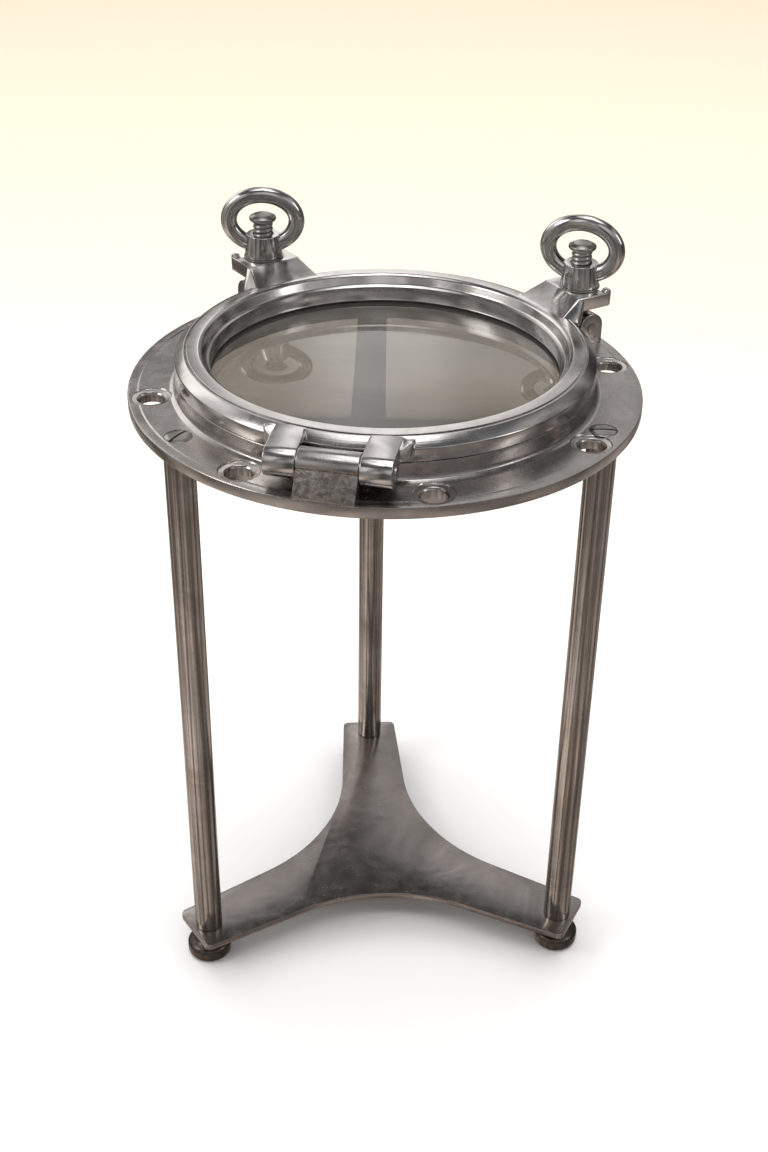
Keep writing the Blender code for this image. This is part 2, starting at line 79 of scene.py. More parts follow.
# Sash.
SASH_R = 176 * MM
SASH_TOP = 34.5 * MM
SKIRT_R = 161.5 * MM
LIGHT_R = 146.5 * MM
REBATE_R = 155.8 * MM
REBATE_TOP = 11.5 * MM
SKIRT_LOW = -8 * MM

# Hinge and dogs.
KNUCKLE_R = 12.5 * MM
FRAME_KNUCKLE = 48 * MM
SASH_KNUCKLE = 25 * MM
HINGE_PIN_R = 5 * MM
EAR_R = 12.5 * MM
EAR_THICK = 11.5 * MM
EYE_R = 12 * MM
EYE_HALF = 10 * MM
PIVOT_PIN_R = 4 * MM
SHANK_R = 9.2 * MM
THREAD_DEEP = 1.1 * MM
THREAD_LEAD = 4 * MM
FORK_TOP = 45.5 * MM
FORK_UNDER = 33 * MM
FORK_HALF = 26 * MM
FORK_REACH = 18 * MM
SLOT_R = 10.5 * MM
HORN_TOP = 48.2 * MM
NUT_FOOT_R = 17.2 * MM
NUT_TOP_R = 15 * MM
NUT_BORE_R = 9.7 * MM
LOOP_BAR_DEEP = 6.2 * MM
LOOP_BAR_WIDE = 7.3 * MM
LOOP_HALF_WIDE = 30.7 * MM
LOOP_HALF_HIGH = 23.3 * MM
LOOP_TURN = {"left": -34.5, "right": 38.5}
GAP = 0.3 * MM
FINE = 256


# ---------------------------------------------------------------- geometry

def softened(points, cut, steps=3):
    """A closed outline with each corner swapped for a short curve that starts this far from it."""
    result = []
    count = len(points)
    for index in range(count):
        before, corner, after = (Vector(points[(index + shift) % count]) for shift in (-1, 0, 1))
        back, ahead = before - corner, after - corner
        reach = min(cut, back.length * 0.45, ahead.length * 0.45)
        start, end = corner + back.normalized() * reach, corner + ahead.normalized() * reach
        for step in range(steps + 1):
            t = step / steps
            result.append(tuple((1 - t) ** 2 * start + 2 * t * (1 - t) * corner + t * t * end))
    return result


def arc(centre, radius, start, stop, steps):
    angles = [radians(start + (stop - start) * step / steps) for step in range(steps + 1)]
    return [(centre[0] + radius * cos(a), centre[1] + radius * sin(a)) for a in angles]


def curve_between(start, control, end, steps):
    points = []
    for step in range(steps + 1):
        t = step / steps
        weights = ((1 - t) ** 2, 2 * t * (1 - t), t * t)
        points.append(tuple(sum(w * p[i] for w, p in zip(weights, (start, control, end))) for i in (0, 1)))
    return points


def turned(profile, steps=FINE):
    """A solid of revolution about Z from a closed outline of (radius, height) points."""
    bm = bmesh.new()
    rings = []
    for radius, height in profile:
        if radius < 1e-7:
            rings.append([bm.verts.new((0, 0, height))] * steps)
            continue
        angles = [tau * step / steps for step in range(steps)]
        rings.append([bm.verts.new((radius * cos(a), radius * sin(a), height)) for a in angles])
    for low, high in zip(rings, rings[1:] + rings[:1]):
        for step in range(steps):
            after = (step + 1) % steps
            corners = list(dict.fromkeys([low[step], low[after], high[after], high[step]]))
            if len(corners) > 2:
                bm.faces.new(corners)
    bmesh.ops.recalc_face_normals(bm, faces=bm.faces)
    return bm


def axle(profile, steps=64):
    """A solid of revolution about Z whose profile starts and ends on the axis."""
    inner = softened(profile, 0.5 * MM)[4:-4]
    return turned([profile[0]] + inner + [profile[-1]], steps)


def extruded(outline, low, high, edge=0.0):
    """A solid from a plan outline, its rims eased by a small bevel."""
    bm = bmesh.new()
    bottom = [bm.verts.new((x, y, low)) for x, y in outline]
    top = [bm.verts.new((x, y, high)) for x, y in outline]
    rims = [bm.faces.new(bottom[::-1]), bm.faces.new(top)]
    for index in range(len(outline)):
        after = (index + 1) % len(outline)
        bm.faces.new((bottom[index], bottom[after], top[after], top[index]))
    bmesh.ops.recalc_face_normals(bm, faces=bm.faces)
    if edge:
        edges = list({e for face in rims for e in face.edges})
        bmesh.ops.bevel(bm, geom=edges, offset=edge, segments=3, profile=0.5, affect="EDGES")
    return bm


def upright(outline, low, high, edge=0.0):
    """A solid from a side outline of (outward, height) points, running along Y."""
    bm = extruded(outline, low, high, edge)
    bm.transform(Matrix.Rotation(pi / 2, 4, "X"))
    bm.transform(Matrix.Scale(-1, 4, (0, 1, 0)))
    bmesh.ops.recalc_face_normals(bm, faces=bm.faces)
    return bm


def hull(points, edge=0.0):
    bm = bmesh.new()
    for point in points:
        bm.verts.new(point)
    result = bmesh.ops.convex_hull(bm, input=bm.verts)
    spare = [item for item in result["geom_interior"] if isinstance(item, bmesh.types.BMVert)]
    bmesh.ops.delete(bm, geom=spare, context="VERTS")
    bmesh.ops.dissolve_limit(bm, angle_limit=radians(2), verts=bm.verts, edges=bm.edges)
    if edge:
        bmesh.ops.bevel(bm, geom=list(bm.edges), offset=edge, segments=3, profile=0.5, affect="EDGES")
    bmesh.ops.recalc_face_normals(bm, faces=bm.faces)
    return bm


def along_y(bm):
    bm.transform(Matrix.Rotation(-pi / 2, 4, "X"))
    return bm


def band(inner, outer, low, high):
    """The outline of a plain ring, or of a plain disc when the inner radius is 0."""
    return [(inner, low), (outer, low), (outer, high), (inner, high)]


def rod(radius, low, high, steps=64):
    return turned(band(0, radius, low, high), steps)


def skinned(bm, rings):
    """Closes a tube of rings of points, all with the same count, into a solid."""
    around = len(rings[0])
    for ring, following in zip(rings, rings[1:]):
        for turn in range(around):
            after = (turn + 1) % around
            bm.faces.new((ring[turn], ring[after], following[after], following[turn]))
    bm.faces.new(rings[0][::-1])
    bm.faces.new(rings[-1])
    bmesh.ops.recalc_face_normals(bm, faces=bm.faces)
    return bm


def placed(bm, place):
    bm.transform(place)
    return bm


def at_azimuth(turn, radius=0.0, height=0.0):
    """X points outward at this azimuth in degrees; heights are above the flange's top face."""
    return Matrix.Rotation(radians(turn), 4, "Z") @ Matrix.Translation((radius, 0, FLANGE_TOP + height))


def new_object(name, bm):
    mesh = bpy.data.meshes.new(name)
    bm.to_mesh(mesh)
    bm.free()
    obj = bpy.data.objects.new(name, mesh)
    bpy.context.scene.collection.objects.link(obj)
    return obj


def combined(name, start, adds=(), cuts=()):
    """One mesh from a start solid, solids joined to it and solids cut from it."""
    obj = new_object(name, start)
    helpers = []
    for operation, solids in (("UNION", adds), ("DIFFERENCE", cuts)):
        for bm in solids:
            helper = new_object(f"{name}_helper", bm)
            helpers.append(helper)
            modifier = obj.modifiers.new("combine", "BOOLEAN")
            modifier.operation = operation
            modifier.solver = "EXACT"
            modifier.object = helper
    graph = bpy.context.evaluated_depsgraph_get()
    mesh = bpy.data.meshes.new_from_object(obj.evaluated_get(graph))
    obj.modifiers.clear()
    obj.data = mesh
    for helper in helpers:
        bpy.data.objects.remove(helper, do_unlink=True)
    return obj


def dressed(obj, material, body, replaces=(), sharp=32):
    """Smooths the faces, keeps the sharp edges, and gives the piece its material and its body."""
    mesh = obj.data
    bm = bmesh.new()
    bm.from_mesh(mesh)
    bmesh.ops.remove_doubles(bm, verts=bm.verts, dist=1e-6)
    for face in bm.faces:
        face.smooth = True
    for edge in bm.edges:
        edge.smooth = len(edge.link_faces) == 2 and edge.calc_face_angle(pi) < radians(sharp)
    bm.to_mesh(mesh)
    bm.free()
    mesh.materials.clear()
    mesh.materials.append(material)
    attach(obj, body)
    if replaces:
        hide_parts(*replaces)
    return obj


# --------------------------------------------------------------- materials

class Shader:
    """Shorthand for building one node material."""

    def __init__(self, name):
        self.material = bpy.data.materials.new(name)
        self.material.use_nodes = True
        self.tree = self.material.node_tree
        self.tree.nodes.clear()
        self.out = self.tree.nodes.new("ShaderNodeOutputMaterial")
        self.where = self.tree.nodes.new("ShaderNodeTexCoord").outputs["Object"]

    def node(self, kind, **settings):
        node = self.tree.nodes.new(kind)
        for key, value in settings.items():
            setattr(node, key, value)
        return node

    def join(self, source, target):
        self.tree.links.new(source, target)

    def put(self, node, name, value):
        if isinstance(value, bpy.types.NodeSocket):
            self.join(value, node.inputs[name])
        else:
            node.inputs[name].default_value = value

    def stretch(self, scale):
        mapping = self.node("ShaderNodeMapping")
        self.join(self.where, mapping.inputs["Vector"])
        mapping.inputs["Scale"].default_value = scale
        return mapping.outputs["Vector"]

    def rings(self):
        """Coordinates that change only with the distance from the middle and the height."""
        parts = self.node("ShaderNodeSeparateXYZ")
        self.join(self.where, parts.inputs[0])
        flat = self.node("ShaderNodeCombineXYZ")
        self.join(parts.outputs[0], flat.inputs[0])
        self.join(parts.outputs[1], flat.inputs[1])
        length = self.node("ShaderNodeVectorMath", operation="LENGTH")
        self.join(flat.outputs[0], length.inputs[0])
        result = self.node("ShaderNodeCombineXYZ")
        self.join(length.outputs["Value"], result.inputs[0])
        self.join(parts.outputs[2], result.inputs[1])
        return result.outputs[0]

    def noise(self, vector, scale, detail=4.0, roughness=0.55, distortion=0.0):
        node = self.node("ShaderNodeTexNoise")
        self.join(vector, node.inputs["Vector"])
        node.inputs["Scale"].default_value = scale
        node.inputs["Detail"].default_value = detail
        node.inputs["Roughness"].default_value = roughness
        node.inputs["Distortion"].default_value = distortion
        return node.outputs["Fac"]

    def spread(self, value, low, high, to_low=0.0, to_high=1.0):
        node = self.node("ShaderNodeMapRange")
        self.join(value, node.inputs["Value"])
        for key, number in zip(("From Min", "From Max", "To Min", "To Max"), (low, high, to_low, to_high)):
            node.inputs[key].default_value = number
        return node.outputs["Result"]

    def mix(self, factor, first, second):
        node = self.node("ShaderNodeMix", data_type="RGBA")
        for index, value in ((0, factor), (6, first), (7, second)):
            if isinstance(value, bpy.types.NodeSocket):
                self.join(value, node.inputs[index])
            else:
                node.inputs[index].default_value = value if index == 0 else (*value, 1.0)
        return node.outputs[2]

    def math(self, operation, first, second):
        node = self.node("ShaderNodeMath", operation=operation)
        for index, value in enumerate((first, second)):
            if isinstance(value, bpy.types.NodeSocket):
                self.join(value, node.inputs[index])
            else:
                node.inputs[index].default_value = value
        return node.outputs[0]

    def bump(self, height, strength, distance, normal=None):
        node = self.node("ShaderNodeBump")
        node.inputs["Strength"].default_value = strength
        node.inputs["Distance"].default_value = distance
        self.join(height, node.inputs["Height"])
        if normal:
            self.join(normal, node.inputs["Normal"])
        return node.outputs["Normal"]

    def principled(self, **values):
        node = self.node("ShaderNodeBsdfPrincipled")
        for name, value in values.items():
            self.put(node, name.replace("_", " "), value)
        self.join(node.outputs[0], self.out.inputs["Surface"])
        return self.material


def metal(
    name,
    light,
    dark,
    stain,
    rough,
    turned_marks=0.0,
    streaks=0.0,
    brushed=0.0,
    pits=0.4,
    waves=0.06,
    grain=0.0,
):
    """Bare metal with a mottled tone and brown stains.

    The rest are strengths: turning marks, streaks down a bar, brushed hairs, small pits, slow waves in
    the surface, and the lumps of rough casting.
    """
    s = Shader(name)
    broad = s.noise(s.where, 14, 5, 0.6, 0.4)
    cloudy = s.noise(s.where, 60, 6, 0.65)
    tone = s.mix(s.spread(broad, 0.3, 0.7), dark, light)
    dirt = s.math("MULTIPLY", s.spread(s.noise(s.where, 7, 6, 0.7, 1.2), 0.52, 0.75), 0.55)
    colour = s.mix(dirt, tone, stain)
    wear = s.spread(cloudy, 0.35, 0.7, rough[0], rough[1])
    height = s.noise(s.where, 900, 3, 0.6)
    normal = s.bump(height, 0.05, 0.0004)
    if waves:
        normal = s.bump(s.noise(s.where, 11, 3, 0.5, 0.6), waves, 0.004, normal)
    if grain:
        lumps = s.noise(s.where, 240, 5, 0.7)
        colour = s.mix(s.spread(lumps, 0.42, 0.58, 0.75, 0.0), colour, stain)
        normal = s.bump(lumps, grain, 0.0012, normal)
    if turned_marks:
        marks = s.noise(s.rings(), 1400, 3, 0.6)
        normal = s.bump(marks, turned_marks, 0.0004, normal)
    if streaks:
        lines = s.noise(s.stretch((90, 90, 1.6)), 1.6, 6, 0.62)
        colour = s.mix(s.math("MULTIPLY", s.spread(lines, 0.46, 0.66), streaks), colour, stain)
        wear = s.math("ADD", wear, s.spread(lines, 0.4, 0.7, 0.0, 0.12))
        normal = s.bump(lines, 0.10, 0.0006, normal)
    if brushed:
        hairs = s.noise(s.stretch((6, 320, 60)), 3.0, 4, 0.7)
        normal = s.bump(hairs, brushed, 0.0004, normal)
        wear = s.math("ADD", wear, s.spread(hairs, 0.35, 0.65, -0.015, 0.02))
    if pits:
        cells = s.node("ShaderNodeTexVoronoi")
        s.join(s.where, cells.inputs["Vector"])
        cells.inputs["Scale"].default_value = 330
        spots = s.spread(cells.outputs["Distance"], 0.0, 0.16, 1.0, 0.0)
        where_pits = s.spread(s.noise(s.where, 26, 4, 0.6), 0.54, 0.68)
        depth = s.math("MULTIPLY", spots, where_pits)
        normal = s.bump(s.math("MULTIPLY", depth, -1.0), pits, 0.0006, normal)
        colour = s.mix(s.math("MULTIPLY", depth, 0.45), colour, (0.10, 0.09, 0.08))
    return s.principled(Base_Color=colour, Metallic=1.0, Roughness=wear, Normal=normal)


def rubber(name):
    s = Shader(name)
    dusty = s.noise(s.where, 90, 5, 0.6)
    colour = s.mix(s.spread(dusty, 0.4, 0.75), (0.016, 0.018, 0.016), (0.05, 0.055, 0.045))
    return s.principled(
        Base_Color=colour,
        Roughness=s.spread(dusty, 0.3, 0.7, 0.6, 0.85),
        Normal=s.bump(s.noise(s.where, 700, 3), 0.2, 0.0003),
    )


def smoked_glass(name):
    """Plate glass whose tint is painted shade: it darkens what is seen through it, standing in for the
    shade under the table. A faint mottle of wipe marks varies that painted shade and bumps the surface.
    """
    s = Shader(name)
    wipes_and_shade_mottle = s.noise(s.stretch((14, 40, 14)), 1.5, 6, 0.65, 0.8)
    # The tint is painted shade: clear glass darkened so the floor seen through it looks shaded.
    painted_shade_tint = s.mix(s.spread(wipes_and_shade_mottle, 0.35, 0.75), (0.235, 0.219, 0.198), (0.190, 0.180, 0.164))
    return s.principled(
        Base_Color=painted_shade_tint,
        Roughness=0.02,
        IOR=1.5,
        Transmission_Weight=0.8,
        Normal=s.bump(wipes_and_shade_mottle, 0.02, 0.0004),
    )


CAST = metal(
    "cast_alloy",
    light=(0.50, 0.47, 0.455),
    dark=(0.35, 0.33, 0.32),
    stain=(0.20, 0.17, 0.145),
    rough=(0.20, 0.33),
    turned_marks=0.10,
)
CAST_ROUGH = metal(
    "rough_cast",
    light=(0.46, 0.43, 0.41),
    dark=(0.27, 0.25, 0.24),
    stain=(0.15, 0.12, 0.10),
    rough=(0.34, 0.5),
    pits=0.8,
    waves=0.3,
    grain=0.8,
)
SASH = metal(
    "sash_alloy",
    light=(0.60, 0.575, 0.56),
    dark=(0.46, 0.44, 0.43),
    stain=(0.27, 0.235, 0.21),
    rough=(0.12, 0.25),
    turned_marks=0.10,
)
BRIGHT = metal(
    "bright_alloy",
    light=(0.60, 0.595, 0.59),
    dark=(0.47, 0.465, 0.46),
    stain=(0.27, 0.25, 0.235),
    rough=(0.10, 0.22),
    pits=0.2,
)
BAR = metal(
    "polished_bar",
    light=(0.56, 0.52, 0.49),
    dark=(0.38, 0.345, 0.32),
    stain=(0.13, 0.105, 0.09),
    rough=(0.10, 0.20),
    streaks=0.8,
)
PLATE = metal(
    "worn_plate",
    light=(0.36, 0.325, 0.31),
    dark=(0.25, 0.225, 0.212),
    stain=(0.15, 0.125, 0.112),
    rough=(0.18, 0.30),
    brushed=0.05,
    waves=0.35,
)
STEEL = metal(
    "dull_steel",
    light=(0.44, 0.42, 0.40),
    dark=(0.27, 0.26, 0.25),
    stain=(0.13, 0.11, 0.09),
    rough=(0.24, 0.40),
)
BRONZE = metal(
    "dark_bronze",
    light=(0.12, 0.10, 0.09),
    dark=(0.06, 0.052, 0.047),
    stain=(0.04, 0.03, 0.025),
    rough=(0.24, 0.42),
    pits=0.3,
)
RUBBER = rubber("black_rubber")
GLASS = smoked_glass("smoked_glass")


# ------------------------------------------------------------------ places

def azimuth_of(point):
    return degrees(atan2(point[1], point[0]))


def joint_place(name):
    """A place at the joint's point: X points outward from the middle of the table, Z up."""
    point = Vector(JOINTS[name]["pos_m"])
    radius = point.to_2d().length
    return at_azimuth(azimuth_of(point), radius, point.z - FLANGE_TOP)


HINGE = joint_place("sash_hinge")
HINGE_R = Vector(JOINTS["sash_hinge"]["pos_m"]).to_2d().length
HINGE_HIGH = HINGE.translation.z - FLANGE_TOP
PIVOTS = {name: joint_place(f"{name}_dog_swing") for name in DOGS}
DOG_R = Vector(JOINTS["left_dog_swing"]["pos_m"]).to_2d().length
PIVOT_HIGH = PIVOTS["left"].translation.z - FLANGE_TOP
LEVEL = Matrix.Translation((0, 0, FLANGE_TOP))
LEG_AT = {}
for leg_name in LEGS:
    low_corner, high_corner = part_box(f"leg_{leg_name}")
    LEG_AT[leg_name] = (low_corner + high_corner) / 2


# ------------------------------------------------------------------ pieces

def ear_outline():
    foot = -PIVOT_HIGH - 4 * MM
    return [(EAR_R, foot)] + arc((0, 0), EAR_R, 0, 180, 32) + [(-EAR_R, foot)]


def hinge_lug_outline():
    foot = -HINGE_HIGH - 4 * MM
    front = FLANGE_R - 1.5 * MM - HINGE_R
    back = arc((0, 0), KNUCKLE_R, 12, 195, 36)
    crease = (KNUCKLE_R - 0.9 * MM, 0.5 * MM)
    return [(front, foot), (front, -HINGE_HIGH + 2 * MM), crease] + back + [(back[-1][0], foot)]


def hinge_arm_outline():
    eye = arc((0, 0), KNUCKLE_R, 90, -120, 40)
    inboard = 162 * MM - HINGE_R
    return eye + [
        (176.5 * MM - HINGE_R, 17 * MM - HINGE_HIGH),
        (170 * MM - HINGE_R, 17.5 * MM - HINGE_HIGH),
        (inboard, 21 * MM - HINGE_HIGH),
        (inboard, 33.8 * MM - HINGE_HIGH),
        (180 * MM - HINGE_R, 33.2 * MM - HINGE_HIGH),
    ]


def build_frame():
    profile = softened(
        [
            (BORE_R, -SPIGOT_DEEP),
            (SPIGOT_R, -SPIGOT_DEEP),
            (SPIGOT_R, -FLANGE_THICK),
            (FLANGE_R, -FLANGE_THICK),
            (FLANGE_R, -0.4 * MM),
            (208 * MM, -0.4 * MM),
            (206.5 * MM, 0),
            (SEAT_R + 5 * MM, 0),
            (SEAT_R + 1.2 * MM, 1.6 * MM),
            (SEAT_R, 5 * MM),
            (SEAT_R, SEAT_HIGH),
            (SEAL_OUT, SEAT_HIGH),
            (SEAL_OUT, SEAT_HIGH - SEAL_DEEP),
            (SEAL_IN, SEAT_HIGH - SEAL_DEEP),
            (SEAL_IN, SEAT_HIGH),
            (BORE_R, SEAT_HIGH),
        ],
        1.2 * MM,
    )
    half = FRAME_KNUCKLE / 2
    adds = [placed(upright(hinge_lug_outline(), -half, half, 0.9 * MM), HINGE)]
    cuts = [placed(along_y(rod(HINGE_PIN_R + GAP, -half - 5 * MM, half + 5 * MM)), HINGE)]
    for name in DOGS:
        near = EYE_HALF + GAP
        far = near + EAR_THICK
        adds.append(placed(upright(ear_outline(), near, far, 0.9 * MM), PIVOTS[name]))
        adds.append(placed(upright(ear_outline(), -far, -near, 0.9 * MM), PIVOTS[name]))
        cuts.append(placed(along_y(rod(PIVOT_PIN_R + GAP, -far - 5 * MM, far + 5 * MM)), PIVOTS[name]))
    through = -FLANGE_THICK - 5 * MM
    for number in range(MOUNT_HOLES):
        sink = [
            (0, through),
            (MOUNT_HOLE_R, through),
            (MOUNT_HOLE_R, -3.4 * MM),
            (MOUNT_HOLE_R + 1.6 * MM, -1.5 * MM),
            (MOUNT_SINK_R - 1.8 * MM, -1.1 * MM),
            (MOUNT_SINK_R - 0.6 * MM, 0.6 * MM),
            (0, 0.6 * MM),
        ]
        place = at_azimuth(MOUNT_FIRST + 360 / MOUNT_HOLES * number, MOUNT_CIRCLE_R)
        cuts.append(placed(axle(sink), place))
    for name in LEGS:
        shank = SCREW_SHANK_R + 0.5 * MM
        head = SCREW_HEAD_R + 0.4 * MM
        above = 2 * MM
        sink = [
            (0, through),
            (shank, through),
            (shank, -6 * MM),
            (head, -0.8 * MM),
            (head, above),
            (0, above),
        ]
        place = Matrix.Translation((LEG_AT[name].x, LEG_AT[name].y, FLANGE_TOP))
        cuts.append(placed(turned(sink, 64), place))
    obj = combined("frame_casting", placed(turned(profile), LEVEL), adds, cuts)
    dressed(obj, CAST, "stand", ["porthole_frame"])
    obj.data.materials.append(CAST_ROUGH)
    to_hinge = HINGE.inverted()
    for face in obj.data.polygons:
        spot = to_hinge @ face.center
        on_front = spot.x > KNUCKLE_R - 1.2 * MM and -HINGE_HIGH < spot.z < 2 * MM
        if on_front and abs(spot.y) < half:
            face.material_index = 1

    reach = half + GAP + SASH_KNUCKLE + 1.5 * MM
    pin = band(0, HINGE_PIN_R, -reach, reach)
    obj = new_object("hinge_pin_turned", placed(along_y(axle(pin)), HINGE))
    dressed(obj, STEEL, "stand", ["hinge_pin"])
    for name in DOGS:
        reach = EYE_HALF + GAP + EAR_THICK + MM
        pin = band(0, PIVOT_PIN_R, -reach, reach)
        obj = new_object(f"{name}_pivot_pin_turned", placed(along_y(axle(pin, 48)), PIVOTS[name]))
        dressed(obj, STEEL, "stand", [f"{name}_pivot_pin"])
    frame["nodes"]["frame_seal"].data.materials[0] = RUBBER


def fork_outline():
    tip = 5.5 * MM
    inner = 181 * MM - DOG_R
    outline = [(inner, -FORK_HALF)]
    outline += arc((FORK_REACH - tip, -FORK_HALF + tip), tip, -90, 0, 10)
    outline += arc((FORK_REACH - tip, -SLOT_R - tip), tip, 0, 90, 10)
    outline += arc((0, 0), SLOT_R, -90, -270, 32)
    outline += arc((FORK_REACH - tip, SLOT_R + tip), tip, -90, 0, 10)
    outline += arc((FORK_REACH - tip, FORK_HALF - tip), tip, 0, 90, 10)
    outline.append((inner, FORK_HALF))
    return outline


def fork_relief_outline():
    clear_r = FORK_TOP - PIVOT_HIGH
    far = FORK_REACH + 3 * MM
    points = [(0.0, clear_r + PIVOT_HIGH)]
    for step in range(1, 25):
        outward = far * step / 24
        points.append((outward, PIVOT_HIGH + sqrt(clear_r**2 - outward**2)))
    return points + [(far, FORK_TOP + 12 * MM), (0.0, FORK_TOP + 12 * MM)]


def fork_root_points():
    points = []
    for side in (-1, 1):
        points += [
            (181 * MM - DOG_R, side * 25 * MM, FORK_TOP - 0.1 * MM),
            (187 * MM - DOG_R, side * 25 * MM, FORK_TOP - 0.1 * MM),
            (187 * MM - DOG_R, side * 25 * MM, FORK_UNDER + 0.2 * MM),
            (158 * MM - DOG_R, side * 31 * MM, 33.9 * MM),
            (171 * MM - DOG_R, side * 38 * MM, 30 * MM),
            (174.5 * MM - DOG_R, side * 38 * MM, 26 * MM),
            (174.5 * MM - DOG_R, side * 24 * MM, 21 * MM),
        ]
    return points


def horn_points(side):
    points = []
    for across in (18.8 * MM, FORK_HALF - 0.6 * MM):
        points += [
            (8.5 * MM, side * across, FORK_TOP - 2 * MM),
            (11 * MM, side * across, HORN_TOP),
            (15 * MM, side * across, HORN_TOP),
            (FORK_REACH - 2 * MM, side * across, HORN_TOP - 2.5 * MM),
            (FORK_REACH - 2 * MM, side * across, FORK_UNDER + 4 * MM),
            (8.5 * MM, side * across, FORK_UNDER + 4 * MM),
        ]
    return points


def arm_flare_points(side, far):
    """Where the casting widens from the outer face of a hinge arm into the bevel of the ring."""
    points = []
    for out, across, high in (
        (162, 9, 33.6),
        (168, 8, 33.4),
        (172, 3.5, 27),
        (176, -2, 26),
        (162, 10, 22),
        (171, 8.5, 22),
        (175.2, 3.5, 20),
        (177, -2, 19),
    ):
        points.append((out * MM - HINGE_R, side * (far + across * MM), high * MM - HINGE_HIGH))
    points.append((162 * MM - HINGE_R, side * (far - 3 * MM), 33.6 * MM - HINGE_HIGH))
    return points


def build_sash():
    low = SEAT_HIGH + 0.5 * MM
    outer = softened(
        [
            (LIGHT_R, REBATE_TOP),
            (REBATE_R, REBATE_TOP),
            (REBATE_R, SKIRT_LOW),
            (SKIRT_R, SKIRT_LOW),
            (SKIRT_R, low),
            (SASH_R, low),
            (SASH_R, 27 * MM),
            (168 * MM, SASH_TOP - 0.5 * MM),
        ],
        0.9 * MM,
    )
    crown = softened(
        [
            (166.5 * MM, SASH_TOP),
            (155.6 * MM, SASH_TOP),
            (153 * MM, 33 * MM),
            (149.8 * MM, 25.6 * MM),
            (LIGHT_R, 24 * MM),
        ],
        1.8 * MM,
        6,
    )
    profile = outer + crown
    near = FRAME_KNUCKLE / 2 + GAP
    far = near + SASH_KNUCKLE
    adds = [
        placed(upright(hinge_arm_outline(), near, far, 0.8 * MM), HINGE),
        placed(upright(hinge_arm_outline(), -far, -near, 0.8 * MM), HINGE),
    ]
    for side in (-1, 1):
        adds.append(placed(hull(arm_flare_points(side, far), 1.0 * MM), HINGE))
    cuts = [placed(along_y(rod(HINGE_PIN_R + GAP, -far - 5 * MM, far + 5 * MM)), HINGE)]
    for name in DOGS:
        fork = PIVOTS[name] @ Matrix.Translation((0, 0, -PIVOT_HIGH))
        adds.append(placed(hull(fork_root_points(), 1.0 * MM), fork))
        adds.append(placed(extruded(fork_outline(), FORK_UNDER, FORK_TOP, 0.9 * MM), fork))
        for side in (-1, 1):
            adds.append(placed(hull(horn_points(side), 0.9 * MM), fork))
        cuts.append(placed(upright(fork_relief_outline(), -18.6 * MM, 18.6 * MM), fork))
    obj = combined("sash_casting", placed(turned(profile), LEVEL), adds, cuts)
    dressed(obj, SASH, "sash", ["sash_ring"])

    glass_low, glass_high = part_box("glass_pane")
    edge = REBATE_R - 1.5 * MM
    pane = band(0, edge, glass_low.z, glass_high.z)
    dressed(new_object("glass_light", axle(pane, FINE)), GLASS, "sash", ["glass_pane"])
    ring_in, ring_out = LIGHT_R + 0.4 * MM, REBATE_R - GAP
    for node in ("glass_gasket_top", "glass_gasket_bottom"):
        low_z, high_z = (corner.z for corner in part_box(node))
        gasket = softened(band(ring_in, ring_out, low_z, high_z), 0.3 * MM)
        dressed(new_object(f"{node}_ring", turned(gasket)), RUBBER, "sash", [node])
    low_z, high_z = (corner.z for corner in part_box("glass_retaining_ring"))
    keeper = softened(band(ring_in, ring_out, low_z, high_z), 0.5 * MM)
    notch = band(-2 * MM, 20 * MM, -4 * MM, 4 * MM)
    notches = []
    for number in range(4):
        place = at_azimuth(45 + 90 * number, ring_in - 14 * MM, low_z - FLANGE_TOP - 2.5 * MM)
        notches.append(placed(extruded(notch, -5 * MM, 5 * MM), place))
    obj = combined("retaining_ring_turned", turned(keeper), (), notches)
    dressed(obj, BRIGHT, "sash", ["glass_retaining_ring"])


def threaded_shank(low, thread_from, high):
    """A plain shank that becomes a right-hand screw, built as one helical skin."""
    bm = bmesh.new()
    around = 48
    per_lead = 8
    rows = int((high - thread_from) / THREAD_LEAD * per_lead)
    rings = []
    heights = [low, thread_from] + [thread_from + THREAD_LEAD * (row + 1) / per_lead for row in range(rows)]
    heights = [height for height in heights if height < high - 1.2 * MM]
    for height in heights:
        ring = []
        for turn in range(around):
            angle = tau * turn / around
            phase = (height - thread_from) / THREAD_LEAD - turn / around
            wave = 0.5 - 0.5 * cos(tau * phase)
            run_in = min(1.0, max(0.0, (height - thread_from) / THREAD_LEAD))
            radius = SHANK_R - THREAD_DEEP * run_in * wave**0.8
            ring.append(bm.verts.new((radius * cos(angle), radius * sin(angle), height)))
        rings.append(ring)
    tip = SHANK_R - THREAD_DEEP - 0.6 * MM
    angles = [tau * turn / around for turn in range(around)]
    rings.append([bm.verts.new((tip * cos(angle), tip * sin(angle), high)) for angle in angles])
    return skinned(bm, rings)


def loop_of_nut(mid):
    """A bar of oval section bent to a ring whose two ends run into the boss."""
    bm = bmesh.new()
    along, around = 96, 28
    start, stop = radians(-78), radians(258)
    rings = []
    for step in range(along + 1):
        t = step / along
        angle = start + (stop - start) * t
        centre = Vector((0, LOOP_HALF_WIDE * cos(angle), mid + LOOP_HALF_HIGH * sin(angle)))
        ahead = Vector((0, -LOOP_HALF_WIDE * sin(angle), LOOP_HALF_HIGH * cos(angle))).normalized()
        side = Vector((1, 0, 0))
        out = ahead.cross(side)
        rings.append([])
        for turn in range(around):
            phase = tau * turn / around
            offset = LOOP_BAR_DEEP * cos(phase) * side + LOOP_BAR_WIDE * sin(phase) * out
            rings[-1].append(bm.verts.new(centre + offset))
    return skinned(bm, rings)


